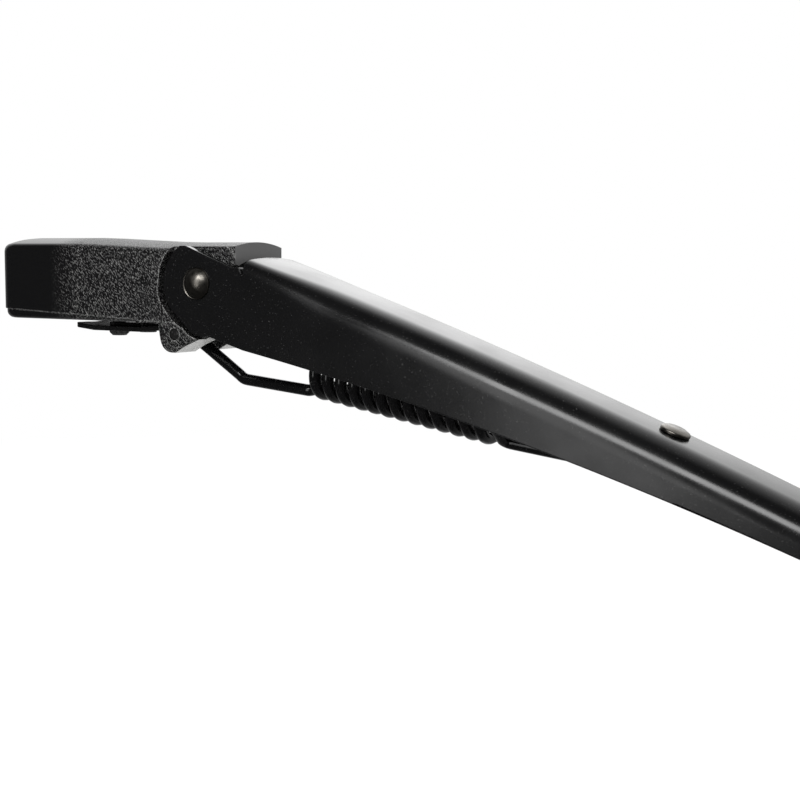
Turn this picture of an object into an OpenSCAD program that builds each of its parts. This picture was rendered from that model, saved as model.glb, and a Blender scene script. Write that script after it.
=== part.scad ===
// Wiper arm for a serrated spindle: a cast head with a sliding catch, a folded steel
// channel on a riveted hinge, an extension spring and a flat bar with a hook for the blade.
// Origin: centre of the spindle bush's mouth. +Z is up along the spindle, +X towards the blade.

/* [Head] */
// Distance from the spindle axis to the hinge axis
hinge_x = 57; // [50:0.5:64]
// Height of the hinge axis above the bush's mouth
hinge_z = 10.2; // [9:0.1:12]
// How far the head's sides stand proud of the channel's
head_proud = 0.3; // [0.1:0.05:0.6]
// Length of the head's round end beyond the spindle axis
nose_len = 13.4; // [12:0.1:15]
// Radius of the round end's corners, seen from above
nose_r = 7.5; // [5:0.5:10]
// Height of the head's crown above the hinge axis
head_top = 11.7; // [11:0.1:13]
// Radius of the crown across the head
head_crown_r = 40; // [30:1:80]
// Radius along the head's upper edges
head_edge_r = 2.2; // [1:0.1:3]
// Thickness of the head's side walls
head_wall = 2.6; // [2:0.1:3.5]
// Thickness of the head's top
head_roof = 3; // [2.5:0.1:4]
// Height of the inset rim at the round end
rim_h = 2.4; // [1.6:0.1:3.5]
// Step between the side wall and the inset rim
rim_step = 0.5; // [0.3:0.1:1]

/* [Visor] */
// Reach of the visor beyond the hinge axis
visor_len = 9.95; // [8:0.05:10.5]
// Height of the visor's crown above the hinge axis
visor_top = 10.4; // [9.8:0.1:10.6]
// Height of the arch under the visor above the hinge axis
arch_top = 6.2; // [5.5:0.1:7]
// Radius of the arch under the visor
arch_r = 21; // [16:1:40]
// Height of the visor's feet above the hinge axis
visor_foot = 4.5; // [3.5:0.1:5.2]

/* [Spindle bush] */
// Bore of the bush
bush_bore_r = 6.2; // [5:0.1:6.5]
// Outside radius of the bush
bush_r = 8.2; // [7.8:0.1:8.8]
// Length of the bush
bush_len = 14; // [10:0.5:16]
// Wall of the boss around the bush
boss_wall = 2; // [1.5:0.1:3]

/* [Hinge] */
// Radius of the rivet's shank
rivet_r = 3; // [2.5:0.1:3.5]
// Radius of the rivet's domed heads
rivet_head_r = 4; // [3.8:0.1:5]
// Height of the domed heads
rivet_head_h = 2.1; // [1.2:0.1:2.8]
// Wall of the sleeve in the head's hinge barrel
sleeve_wall = 1.2; // [0.8:0.1:1.6]
// Radius of the head's hinge barrel
barrel_r = 8.6; // [8:0.1:9.4]
// Radius of the friction washers
washer_r = 7.4; // [5.5:0.1:8]
// Thickness of the friction washers
washer_t = 0.5; // [0.3:0.05:1]
// Gap between the ears and the recess in the head
recess_gap = 1.2; // [0.8:0.1:2]

/* [Lugs] */
// Width of the slot between the lugs
lug_slot = 10; // [8:0.5:11]
// Height of the lugs below the hinge axis
lug_h = 17.5; // [17:0.1:19]
// Distance from the hinge axis back to the spring pin
pin_back = 7; // [6.5:0.1:8]
// Depth of the spring pin below the hinge axis
pin_down = 12.8; // [12.5:0.1:13.5]
// Radius of the spring pin
pin_r = 1.5; // [1.2:0.1:1.8]

/* [Catch] */
// Thickness of the catch plate
catch_t = 1.3; // [0.8:0.1:1.4]
// Width of the catch plate
catch_w = 14; // [13:0.5:16]
// Distance from the spindle axis to the catch's tips when it is pulled out
catch_clear = 11; // [10.6:0.1:12]
// Travel of the catch
catch_travel = 6; // [4:0.5:6.5]
// Radius of the knurled knob under the catch
knob_r = 2.65; // [2.4:0.05:3]
// Height of the knob
knob_h = 1.5; // [1.2:0.1:1.8]
// Number of grooves round the knob
knurl_count = 12; // [8:1:16]
// Radius of the guide studs
stud_r = 1.8; // [1.5:0.1:2]
// Distance between the two guide studs
stud_gap = 10; // [9:0.5:12]
// Thickness of the bridge that guides the studs
bridge_t = 2; // [1.5:0.1:2.5]

/* [Channel] */
// Outside width of the channel at the hinge
arm_w = 25; // [24.6:0.1:27]
// Outside width of the channel at its far end
arm_end_w = 19; // [16:0.5:22]
// Thickness of the channel's sheet
sheet_t = 2; // [1.6:0.1:2.2]
// Length of the channel beyond the hinge axis
channel_len = 225; // [190:1:260]
// Radius of the ears
ear_r = 10.8; // [10.4:0.1:11.2]
// Distance from the hinge axis to the web's front edge
web_front = 13.9; // [13.8:0.1:16]
// Height of the web's crown above the hinge axis at its front edge
web_top = 6.65; // [5.8:0.05:6.8]
// Fall of the web for each millimetre of reach, near the hinge
web_slope = 0.315; // [0.25:0.005:0.36]
// Radius of the crown across the web
web_crown_r = 70; // [50:1:90]
// Outside radius of the bends between web and flanges at the web's front edge
bend_front_r = 4; // [3.2:0.1:4.5]
// Outside radius of the bends away from the ears
bend_r = 7; // [5:0.1:7.5]
// Depth of the channel at the web's front edge
flange_front_h = 22.8; // [20:0.1:24]
// Depth of the channel at its far end
flange_end_h = 6.8; // [6:0.1:9]
// Distance from the hinge axis to the open upper edges of the ears
ear_top = 7.5; // [7:0.1:8]

/* [Spring] */
// Diameter of the spring's wire
wire_d = 3; // [2.5:0.1:3]
// Mean radius of the coil
coil_r = 5.2; // [4.5:0.1:5.4]
// Distance between the turns of the tensioned coil
coil_pitch = 3.78; // [3.4:0.02:4]
// Number of turns
coil_turns = 14; // [12:1:15]
// Distance from the hinge axis to the first turn
coil_start = 27.6; // [26:0.1:29]
// Depth of the coil's axis below the hinge axis at the first turn
coil_down = 21.2; // [20:0.1:22.5]
// Fall of the coil's axis, in degrees
coil_fall = 9.7; // [8:0.1:12]
// Distance from the hinge axis to the bend in the front wire
crank_x = 5.1; // [3:0.1:7]
// Depth of the bend in the front wire below the hinge axis
crank_down = 24.4; // [23:0.1:25.5]

/* [Bar] */
// Width of the bar
bar_w = 9; // [8:0.5:10]
// Thickness of the bar
bar_t = 3; // [2.5:0.1:4]
// Reach of the bar beyond the hinge axis
bar_len = 425; // [380:1:480]
// Distance from the hinge axis to the first rivet
first_rivet_x = 119; // [116:0.5:124]
// Distance between the rivets
rivet_step = 42; // [35:1:48]
// Number of rivets along the bar
rivet_count = 3; // [2:1:3]
// Radius of the rivets' heads
bar_rivet_head_r = 3.4; // [3:0.1:4]
// Radius of the rivets' shanks
bar_rivet_r = 2; // [1.5:0.1:2.5]
// Inside radius of the blade hook
hook_r = 3.5; // [3:0.1:5]
// Length of the blade hook's return leg
hook_leg = 22; // [18:1:28]

/* [Hidden] */

// Gap around a part that is held fast, and around one that turns or slides
seat_gap = 0.02;
run_gap = 0.05;
slide_gap = 0.3;
// Overlap that lets a cutting solid pass clear of the face it cuts
over = 1;

black_paint = [0.07, 0.07, 0.075];
black_cast = [0.10, 0.10, 0.10];
dark_steel = [0.16, 0.16, 0.17];
zinc_steel = [0.55, 0.55, 0.56];

head_w = arm_w + 2 * head_proud;

// Straight and eased change from 0 to 1 while x goes from a to b
function ramp(x, a, b) = min(1, max(0, (x - a) / (b - a)));
function ease(x, a, b) = let (s = ramp(x, a, b)) s * s * (3 - 2 * s);
function unit(v) = v / norm(v);
function arc(c, r, a0, a1, n) =
    [for (i = [0:n]) let (a = a0 + (a1 - a0) * i / n) [c[0] + r * cos(a), c[1] + r * sin(a)]];

module at_hinge() translate([hinge_x, 0, hinge_z]) children();

// Turns an outline drawn in X and Z into a solid of width w, centred on Y
module side_solid(w) rotate([90, 0, 0]) linear_extrude(w, center = true) children();

// A drill along Y through a point of the X-Z plane
module cross_drill(x, z, r, w) translate([x, 0, z]) rotate([90, 0, 0])
    cylinder(r = r, h = w, center = true, $fn = 64);

// Half outline of a crowned section: up the side wall, round the corner, along the crown
function half_crown(hw, low, top, crown_r, corner_r, n) =
    let (yc = hw - corner_r,
         rise = sqrt((crown_r - corner_r) * (crown_r - corner_r) - yc * yc),
         zc = top - crown_r + rise,
         a = atan2(rise, yc))
    concat([[hw, low]],
           arc([yc, zc], corner_r, 0, a, n),
           [for (i = [1:n]) let (b = a + (90 - a) * i / n)
               [crown_r * cos(b), top - crown_r + crown_r * sin(b)]]);
function crown_section(hw, low, top, crown_r, corner_r, n) =
    let (h = half_crown(hw, low, top, crown_r, corner_r, n))
    concat(h, [for (i = [len(h) - 2:-1:0]) [-h[i][0], h[i][1]]]);

// Triangles across a closed outline of m points, in strips between its two halves
function cap(m) = [for (i = [0:ceil(m / 2) - 2]) let (j = m - 2 - i)
    each (i + 1 == j ? [[i, j, j + 1]] : [[i, i + 1, j], [i, j, j + 1]])];

// A closed skin through a list of sections, each a list of 3-D points
module loft(sections) {
    m = len(sections[0]);
    n = len(sections);
    points = [for (s = sections) each s];
    walls = [for (i = [0:n - 2], j = [0:m - 1]) let (k = (j + 1) % m)
        each [[i * m + j, (i + 1) * m + k, i * m + k],
              [i * m + j, (i + 1) * m + j, (i + 1) * m + k]]];
    far_end = [for (t = cap(m)) [for (j = [2:-1:0]) (n - 1) * m + t[j]]];
    polyhedron(points, concat(walls, cap(m), far_end), convexity = 8);
}

// HEAD. Distances along X are from the hinge axis.
spindle_x = -hinge_x;
nose_x = spindle_x - nose_len;
visor_w = arm_w - 2 * sheet_t - 2 * (washer_t + 2 * run_gap);
recess_r = ear_r + recess_gap;
shoulder_x = -recess_r + 3;
crown_n = 7;

// Half width of the head, with round corners at the nose
function head_half(x) = let (d = nose_x + nose_r - x)
    head_w / 2 - (d <= 0 ? 0 : nose_r - sqrt(max(0, nose_r * nose_r - d * d)));
// Height of the head's crown: falls to the nose and sinks a little to the visor
crest_run = 1.1 * nose_r;
nose_drop = 0.22 * head_top;
function head_crest(x) =
    let (fall = head_top - visor_top, d = 1 - ramp(x, nose_x, nose_x + crest_run))
    head_top - fall * ease(x, -0.79 * hinge_x, -0.09 * hinge_x) - nose_drop * pow(d, 3);

nose_stations = [for (a = [2, 12, 24, 38, 54, 72, 90]) nose_x + nose_r * (1 - cos(a))];

function head_section(x, low, step) =
    [for (p = crown_section(head_half(x) - step, low, head_crest(x), head_crown_r,
                            head_edge_r, crown_n))
        [x, p[0], p[1]]];
body_x0 = nose_x + 1.2 * nose_r;
body_stations = concat(nose_stations, [nose_x + crest_run], [for (i = [0:9]) body_x0 * (1 - i / 9)], [visor_len]);

module head_skin() loft([for (x = body_stations) head_section(x, -hinge_z + 0.1, 0)]);

// The rim under the side walls stands back by one step and gets lower towards the hinge
module rim_cut() {
    side_solid(2 * head_w) polygon([[nose_x - over, -hinge_z - over],
                                    [nose_x - over, -hinge_z + 1.16 * rim_h],
                                    [nose_x + 1.2 * nose_r, -hinge_z + rim_h],
                                    [shoulder_x + rim_step, -hinge_z + rim_h / 8],
                                    [shoulder_x + rim_step, -hinge_z - over]]);
}
// Section of the rim outwards from the axis of a corner, with a round lower edge
rim_r = 0.8 * rim_h;
module rim_profile(r) intersection() {
    square([r, 1.4 * rim_h]);
    union() {
        square([r - rim_r, 1.4 * rim_h]);
        translate([r - rim_r, rim_r]) circle(rim_r, $fn = 64);
        translate([0, rim_r]) square([r, rim_h]);
    }
}
module rim() {
    r = nose_r - rim_step;
    x0 = nose_x + rim_step + r;
    y0 = head_w / 2 - rim_step - r;
    translate([x0, 0, -hinge_z]) {
        for (s = [-1, 1]) translate([0, s * y0, 0]) {
            rotate_extrude($fn = 96) rim_profile(r);
            rotate([90, 0, 90]) linear_extrude(shoulder_x - x0) scale([s, 1]) rim_profile(r);
        }
        rotate([90, 0, 0]) linear_extrude(2 * y0, center = true) scale([-1, 1]) rim_profile(r);
        translate([0, -y0, 0]) cube([shoulder_x - x0, 2 * y0, 1.4 * rim_h]);
    }
}

// The ear of a flange bulges below its round
bulge_r = 0.65 * ear_r;
bulge = [0.14 * ear_r, -0.583 * ear_r];

module recess_outline() {
    circle(recess_r, $fn = 96);
    translate(bulge) circle(bulge_r + recess_gap / 2, $fn = 96);
    polygon([[shoulder_x, recess_r / 3], [shoulder_x, 2 * recess_r], [4 * recess_r, 2 * recess_r],
             [4 * recess_r, -0.8 * recess_r], [0, -0.8 * recess_r], [0, recess_r / 3]]);
}
module recess() for (s = [-1, 1])
    translate([0, s * (visor_w / 2 + head_w / 2), 0]) side_solid(head_w) recess_outline();

// The lug goes round its pin and rises to the front in two straight faces
lug_r = 3.6;
module lug_outline() polygon(concat(
    [[-pin_back - 1.2 * lug_r, -hinge_z + lug_r], [-pin_back - 1.42 * lug_r, -hinge_z],
     [-pin_back - 1.33 * lug_r, -pin_down]],
    arc([-pin_back - lug_r / 4, lug_r - lug_h], lug_r, 190, 270, 6),
    [[-pin_back + lug_r / 8, -lug_h], [-pin_back + lug_r, -lug_h + lug_r / 2], [ear_r / 6, -lug_h + 1.1 * lug_r],
     [ear_r / 3, -ear_r * 0.75], [0, 0], [-0.85 * ear_r, 0]]));

module spindle_boss() translate([spindle_x, 0, -hinge_z + 0.6])
    cylinder(r = bush_r + boss_wall, h = head_top + hinge_z - head_roof, $fn = 96);

bridge_z = -hinge_z - 1.5 * slide_gap;
bridge_x0 = spindle_x + bush_r + boss_wall / 2;
bridge_x1 = shoulder_x - recess_r * 0.42;
stud_x0 = spindle_x + bush_r + boss_wall + catch_travel + stud_r + 2.5;
stud_xs = [stud_x0, stud_x0 + stud_gap];

module cavity() {
    back_x = nose_x + head_wall;
    inner_w = head_w - 2 * head_wall;
    inner_r = nose_r - head_wall;
    low = hinge_z + head_top - 1.8 * head_roof + over;
    difference() {
        union() {
            translate([back_x + inner_r, -inner_w / 2, -hinge_z - over])
                cube([bridge_x1 - back_x - inner_r, inner_w, hinge_z + head_top - 1.5 * head_roof + over]);
            translate([back_x, -inner_w / 2 + inner_r, -hinge_z - over])
                cube([inner_r + over, inner_w - 2 * inner_r, low]);
            for (s = [-1, 1]) translate([back_x + inner_r, s * (inner_w / 2 - inner_r), -hinge_z - over])
                cylinder(r = inner_r, h = low, $fn = 48);
        }
        spindle_boss();
        translate([bridge_x0, -head_w / 2, bridge_z]) cube([bridge_x1 - bridge_x0 + over, head_w, bridge_t]);
    }
}

module stud_slots() for (x = stud_xs) {
    w = 2 * (stud_r + slide_gap);
    translate([x - catch_travel, -w / 2, bridge_z - over]) cube([catch_travel, w, bridge_t + 2 * over]);
    for (dx = [-catch_travel, 0]) translate([x + dx, 0, bridge_z - over])
        cylinder(r = w / 2, h = bridge_t + 2 * over, $fn = 48);
}

// A low pad ahead of the recess on each side
pad_proud = 0.45;
module side_pad() for (s = [-1, 1]) translate([0, s * (head_w - head_wall) / 2, 0])
    side_solid(head_wall + 2 * pad_proud)
        polygon([[-1.35 * recess_r, 0], [-0.9 * recess_r, -0.1 * recess_r], [-0.9 * recess_r, -hinge_z],
                 [-1.62 * recess_r, -hinge_z]]);

// Space that the spring's hook and the wire behind it need between the lugs
module hook_slot() {
    room = pin_r + wire_d + 1;
    translate([-pin_back - 1.4 * room, -lug_slot / 2, -lug_h - over]) {
        cube([4 * room, lug_slot, lug_h + over - barrel_r - slide_gap]);
        cube([2.4 * room, lug_slot, lug_h + over - pin_down + room]);
    }
}

module head_casting() color(black_cast) at_hinge() difference() {
    union() {
        difference() {
            head_skin();
            rim_cut();
            recess();
            translate([0, -head_w, -3 * head_w]) cube([4 * recess_r, 2 * head_w, 3 * head_w + visor_foot]);
        }
        difference() {
            rim();
            recess();
        }
        difference() {
            side_solid(head_w) lug_outline();
            recess();
        }
        difference() {
            side_pad();
            recess();
        }
        cross_drill(0, 0, barrel_r, visor_w);
    }
    cavity();
    stud_slots();
    hook_slot();
    translate([barrel_r * 0.55, 0, arch_top - arch_r]) rotate([0, 90, 0])
        cylinder(r = arch_r, h = visor_len, $fn = 128);
    translate([spindle_x, 0, -hinge_z - over]) cylinder(r = bush_r + seat_gap, h = bush_len + over, $fn = 96);
    cross_drill(0, 0, rivet_r + run_gap + sleeve_wall + seat_gap, 2 * head_w);
    cross_drill(-pin_back, -pin_down, pin_r + seat_gap, 2 * head_w);
}

module spindle_bush() color(zinc_steel) translate([spindle_x + hinge_x, 0, 0]) difference() {
    cylinder(r = bush_r, h = bush_len - 0.1, $fn = 96);
    translate([0, 0, -over]) cylinder(r = bush_bore_r, h = bush_len + over - 1.1, $fn = 96);
}

module hinge_sleeve() color("tan") at_hinge() difference() {
    cross_drill(0, 0, rivet_r + run_gap + sleeve_wall, visor_w - 0.1);
    cross_drill(0, 0, rivet_r + run_gap, visor_w + over);
}

module hinge_washers() color(zinc_steel) at_hinge() for (s = [-1, 1])
    translate([0, s * (visor_w + 2 * run_gap + washer_t) / 2, 0]) difference() {
        cross_drill(0, 0, washer_r, washer_t);
        cross_drill(0, 0, rivet_r + run_gap, washer_t + over);
    }

module spring_pin() color(dark_steel) at_hinge()
    cross_drill(-pin_back, -pin_down, pin_r, head_w - 0.4);

// CATCH. The plate hangs on two shouldered studs under the bridge. It falls to the first stud, which
// carries the knob, and rises to the lugs behind the second one.
catch_x0 = spindle_x + catch_clear;
catch_tail = -pin_back - pin_r - wire_d - 3.5;
catch_z = bridge_z - slide_gap - seat_gap;
catch_dip = 0.7;
catch_rise = 0.95 * catch_dip;
stud_lip = 0.5;
catch_bends = [catch_x0, stud_xs[0] - knob_r - slide_gap, stud_xs[1] + stud_r + stud_lip + slide_gap, catch_tail];
function catch_line(x) = catch_z - catch_dip * ramp(x, catch_bends[0], catch_bends[1])
    + catch_rise * ramp(x, catch_bends[2], catch_bends[3]);

// A rib along the plate's middle, from the first stud to the tail, that stays clear of the studs' collars
collar_r = stud_r + 0.8;
module catch_rib() difference() {
    side_solid(2 * collar_r) polygon(concat(
        [[stud_xs[0], bridge_z - slide_gap], [catch_tail - 1.5, bridge_z - slide_gap]],
        [for (x = [catch_tail - 1.5, catch_bends[2], stud_xs[0]]) [x, catch_line(x) - catch_t / 2]]));
    for (x = stud_xs) translate([x, 0, -lug_h]) cylinder(r = collar_r + seat_gap, h = lug_h, $fn = 48);
}

module catch_plate() color(dark_steel) at_hinge() difference() {
    corner = 1.5;
    run = catch_tail - catch_x0;
    union() {
        catch_rib();
        intersection() {
            side_solid(catch_w) polygon(concat([for (x = catch_bends) [x, catch_line(x)]],
                [for (i = [3:-1:0]) [catch_bends[i], catch_line(catch_bends[i]) - catch_t]]));
            translate([catch_x0, 0, -lug_h]) linear_extrude(lug_h) union() {
                translate([corner, -catch_w / 2]) square([run - 2 * corner, catch_w]);
                translate([0, corner - catch_w / 2]) square([run, catch_w - 2 * corner]);
                for (x = [corner, run - corner], s = [-1, 1])
                    translate([x, s * (catch_w / 2 - corner)]) circle(corner, $fn = 32);
            }
        }
    }
    translate([spindle_x + catch_travel, 0, -lug_h]) cylinder(r = 0.87 * bush_bore_r, h = lug_h, $fn = 64);
    for (x = stud_xs) translate([x, 0, -lug_h]) cylinder(r = stud_r + seat_gap, h = lug_h, $fn = 48);
}

module knurled_knob() difference() {
    rotate_extrude($fn = 64) polygon([[0, 0], [knob_r, 0], [knob_r, -0.45 * knob_h],
                                      [0.7 * knob_r, -knob_h], [0, -knob_h]]);
    for (i = [0:knurl_count - 1]) rotate(360 * i / knurl_count) translate([knob_r + 0.15, 0, -knob_h - over])
        cylinder(r = knob_r / 5, h = knob_h + over - 0.15, $fn = 24);
}

module catch_studs() color(dark_steel) at_hinge() for (x = stud_xs) {
    under = catch_line(x) - catch_t - seat_gap;
    above = catch_line(x) + seat_gap;
    top = bridge_z + bridge_t + slide_gap;
    translate([x, 0, 0]) {
        translate([0, 0, under - 0.2]) cylinder(r = stud_r, h = top - under + 0.7, $fn = 48);
        translate([0, 0, above]) cylinder(r = collar_r, h = bridge_z - slide_gap - above, $fn = 48);
        translate([0, 0, top]) cylinder(r = stud_r + 1.6, h = 1, $fn = 48);
        if (x == stud_x0) translate([0, 0, under]) knurled_knob();
        else translate([0, 0, under - 0.35]) cylinder(r = stud_r + stud_lip, h = 0.35, $fn = 48);
    }
}

// CHANNEL. One sheet with a crowned web and two flanges; its line bends gently down.
web_bend = 0.00036;
straight_x = channel_len * 2 / 3;
ear_foot_x = web_front + ear_r * 0.9;
function web_line(x) = let (u = min(x, straight_x) - web_front, v = max(0, x - straight_x))
    web_top - web_slope * u - web_bend * u * u
    - (web_slope + 2 * web_bend * (straight_x - web_front)) * v;
function arm_half(x) = arm_w / 2 - (arm_w - arm_end_w) / 2
    * (0.45 * ramp(x, ear_foot_x, channel_len) + 0.55 * ease(x, straight_x, channel_len));
function flange_h(x) = flange_end_h + (flange_front_h - flange_end_h)
    * pow(1 - ramp(x, web_front, channel_len), 1.6);
function flange_low(x) = web_line(x) - flange_h(x);

// The bends grow from the front edge's radius to their own within bend_run
bend_run = 28;
function bend_at(x) = bend_front_r + (bend_r - bend_front_r) * ease(x, web_front, web_front + bend_run);

channel_xs = concat([web_front], [for (i = [0:22]) ear_foot_x + (channel_len - ear_foot_x) * i / 22]);
function channel_outline(x, inset) =
    crown_section(arm_half(x) - inset, flange_low(x), web_line(x) - inset, web_crown_r - inset,
                  bend_at(x) - inset, 6);
// Round the outside of the section one way and back along the inside
function channel_section(x) = let (outside = channel_outline(x, 0), inside = channel_outline(x, sheet_t))
    [for (p = concat(outside, [for (i = [len(inside) - 1:-1:0]) inside[i]])) [x, p[0], p[1]]];

// The ear's open upper edge falls towards the web and turns into its round through a small arc
ear_edge_angle = 20.6;
ear_corner_r = 2.6;
module ear_side() {
    t = [cos(ear_edge_angle), -sin(ear_edge_angle)];
    n = [sin(ear_edge_angle), cos(ear_edge_angle)];
    turn = acos((ear_top - ear_corner_r) / (ear_r - ear_corner_r));
    out = n * cos(turn) - t * sin(turn);
    c = out * (ear_r - ear_corner_r);
    difference() {
        union() {
            circle(ear_r, $fn = 128);
            translate(bulge) circle(bulge_r, $fn = 96);
            polygon([[-8.6, -6.6], [-3.4, -11.3], [2.9, -13.2], [web_front, flange_low(web_front) + 0.03],
                     [web_front + 4, flange_low(web_front + 4) + 0.03],
                     [web_front + 4, web_line(web_front + 4) - 5], [web_front, web_top - 4], n * ear_top - t * 5]);
        }
        polygon([n * ear_top - t * 12, n * ear_top + t * 14, n * (ear_top + 12) + t * 14,
                 n * (ear_top + 12) - t * 12]);
        difference() {
            polygon([c, c + n * (ear_corner_r + 2), c + (n + out) * (ear_corner_r + 2), c + out * (ear_corner_r + 2)]);
            translate(c) circle(ear_corner_r, $fn = 48);
        }
    }
}

module arm_channel() color(black_paint) at_hinge() difference() {
    union() {
        loft([for (x = channel_xs) channel_section(x)]);
        for (s = [-1, 1]) translate([0, s * (arm_w - sheet_t) / 2, 0]) side_solid(sheet_t - 0.04) ear_side();
    }
    cross_drill(0, 0, rivet_r + seat_gap, 2 * arm_w);
    bar_rivet_places() cylinder(r = bar_rivet_r + seat_gap, h = 12, center = true, $fn = 48);
}

module hinge_rivet() color(dark_steel) at_hinge() {
    cross_drill(0, 0, rivet_r, arm_w + rivet_head_h);
    cap_r = (rivet_head_r * rivet_head_r + rivet_head_h * rivet_head_h) / (2 * rivet_head_h);
    for (s = [-1, 1]) intersection() {
        translate([0, s * (arm_w / 2 + rivet_head_h - cap_r), 0]) sphere(cap_r, $fn = 96);
        translate([0, s * (arm_w / 2 + rivet_head_h), 0]) cross_drill(0, 0, rivet_head_r, 2 * rivet_head_h);
    }
}

// BAR. It lies under the web, drops away from it at its front end and ends in a hook.
function web_angle(x) = atan(web_slope + 2 * web_bend * (min(x, straight_x) - web_front));
// The bar's edges touch the inside of the narrow end's bends, so the bar lies that far below the crest
end_bend_y = max(0, bar_w / 2 - (arm_end_w / 2 - bend_r));
crown_in = web_crown_r - sheet_t;
bend_in = bend_r - sheet_t;
bar_drop = sheet_t + crown_in - sqrt(crown_in * crown_in - bar_w * bar_w / 4)
    + bend_in - sqrt(bend_in * bend_in - end_bend_y * end_bend_y);
anchor_x = 97.5;
bar_x0 = anchor_x - 5.5;
bar_turn_x = 109;
function bar_line(x) = web_line(max(x, bar_turn_x)) - bar_drop - seat_gap
    + max(0, bar_turn_x - x) * 0.02;
hook_x = bar_len - hook_r - bar_t;

module bar_side() {
    xs = concat([bar_x0, bar_turn_x], [for (x = [bar_turn_x + 6:8:straight_x]) x], [hook_x]);
    a = -web_angle(straight_x);
    n = [sin(-a), cos(a)];
    end = [hook_x, bar_line(hook_x)];
    c = end - n * (bar_t + hook_r);
    leg = [cos(a), sin(a)] * hook_leg;
    polygon(concat([for (x = xs) [x, bar_line(x)]],
        arc(c, hook_r + bar_t, 90 + a, -90 + a, 24),
        [c - n * (hook_r + bar_t) - leg, c - n * hook_r - leg],
        arc(c, hook_r, -90 + a, 90 + a, 24),
        [for (i = [len(xs) - 2:-1:0]) [xs[i], bar_line(xs[i]) - bar_t]]));
}

module arm_bar() color(black_paint) at_hinge() difference() {
    side_solid(bar_w) bar_side();
    bar_rivet_places() cylinder(r = bar_rivet_r + seat_gap, h = 20, center = true, $fn = 48);
    translate([anchor_x, 0, bar_line(anchor_x)]) cylinder(r = wire_d / 2 + 0.6, h = 20, center = true, $fn = 48);
}

// Places the rivets on the web, each square to the web's line
module bar_rivet_places() for (i = [0:rivet_count - 1]) {
    x = first_rivet_x + i * rivet_step;
    translate([x, 0, web_line(x)]) rotate([0, web_angle(x), 0]) children();
}

module bar_rivets() color(dark_steel) at_hinge() bar_rivet_places() {
    grip = bar_drop + bar_t + 0.1;
    translate([0, 0, -grip - 0.4]) cylinder(r = bar_rivet_r, h = grip + 0.8, $fn = 48);
    difference() {
        union() {
            translate([0, 0, -0.3]) cylinder(r = bar_rivet_head_r, h = 1.1, $fn = 64);
            translate([0, 0, 0.8]) cylinder(r1 = bar_rivet_head_r, r2 = bar_rivet_head_r * 0.66, h = 0.5, $fn = 64);
        }
        translate([-10, 0, -web_crown_r]) rotate([0, 90, 0]) cylinder(r = web_crown_r + 0.02, h = 20, $fn = 160);
    }
    translate([0, 0, -grip - 1]) cylinder(r = bar_rivet_head_r - 0.4, h = 0.95, $fn = 48);
}

// SPRING. A hook round the pin, a cranked wire, the coil and a hook up through the bar.
wire_r = wire_d / 2;
fall = [cos(coil_fall), 0, -sin(coil_fall)];
rise = [sin(coil_fall), 0, cos(coil_fall)];
coil_base = [coil_start, 0, -coil_down];
hook_wire_r = pin_r + wire_r + 0.18;
pin_at = [-pin_back, 0, -pin_down];
crank = [crank_x, 0, -crank_down];
// Direction of the straight wire that leaves the hook and touches it below the pin
crank_dist = norm(crank - pin_at);
crank_dir = atan2(crank[2] - pin_at[2], crank[0] - pin_at[0]) - asin(hook_wire_r / crank_dist);
function coil_point(t) = coil_base + fall * coil_pitch * t
    - rise * coil_r * cos(360 * t) + [0, 1, 0] * coil_r * sin(360 * t);
coil_first = coil_point(0);
coil_last = coil_point(coil_turns);
rear_z = bar_line(anchor_x) - bar_t - 5.4;
rear_top = bar_line(anchor_x) + wire_r + 0.35;
function turn_arc(c, r, a0, a1, n) =
    [for (i = [0:n]) let (a = a0 + (a1 - a0) * i / n) [c[0] + r * cos(a), 0, c[2] + r * sin(a)]];
function bend(a, b, c, r, n) = let (u = unit(a - b), v = unit(c - b), h = acos(u * v) / 2,
        d = r / tan(h), o = b + unit(u + v) * r / sin(h), p = b + u * d, q = b + v * d)
    [for (i = [0:n]) o + r * unit((p - o) * (1 - i / n) + (q - o) * i / n)];

spring_path = concat(
    turn_arc(pin_at, hook_wire_r, crank_dir + 90 - 270 + 25, crank_dir - 90, 12) ,
    bend(pin_at, crank, coil_first, 4, 5),
    [coil_first - unit(coil_first - crank) * 5],
    bend(crank, coil_first - [0.6, 0, 0], coil_point(0.16), 1.8, 4),
    [for (i = [3:coil_turns * 14 - 3]) coil_point(i / 14)],
    bend(coil_point(coil_turns - 0.16), coil_last + [0.6, 0, 0], [anchor_x, 0, rear_z], 1.8, 4),
    bend(coil_last, [anchor_x, 0, rear_z], [anchor_x, 0, rear_top], 3.2, 6),
    bend([anchor_x, 0, rear_z], [anchor_x, 0, rear_top], [anchor_x - 6, 0, rear_top], 1.6, 5),
    [[anchor_x - 4, 0, rear_top]]);

// A round wire along a path; each ring's start is carried over from the one before
module wire(path, r, sides) {
    n = len(path);
    tangents = [for (i = [0:n - 1]) unit(path[min(n - 1, i + 1)] - path[max(0, i - 1)])];
    firsts = [for (i = 0, v = [0, 1, 0]; i < n;
                   i = i + 1, v = i < n ? unit(v - tangents[i] * (tangents[i] * v)) : v) v];
    loft([for (i = [0:n - 1]) let (u = firsts[i], w = cross(tangents[i], u))
        [for (j = [0:sides - 1]) path[i] + r * (u * cos(360 * j / sides) + w * sin(360 * j / sides))]]);
}

module extension_spring() color(dark_steel) at_hinge() wire(spring_path, wire_r, 10);

head_casting();
spindle_bush();
hinge_sleeve();
hinge_washers();
spring_pin();
catch_plate();
catch_studs();
arm_channel();
hinge_rivet();
arm_bar();
bar_rivets();
extension_spring();
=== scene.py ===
import math

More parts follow.
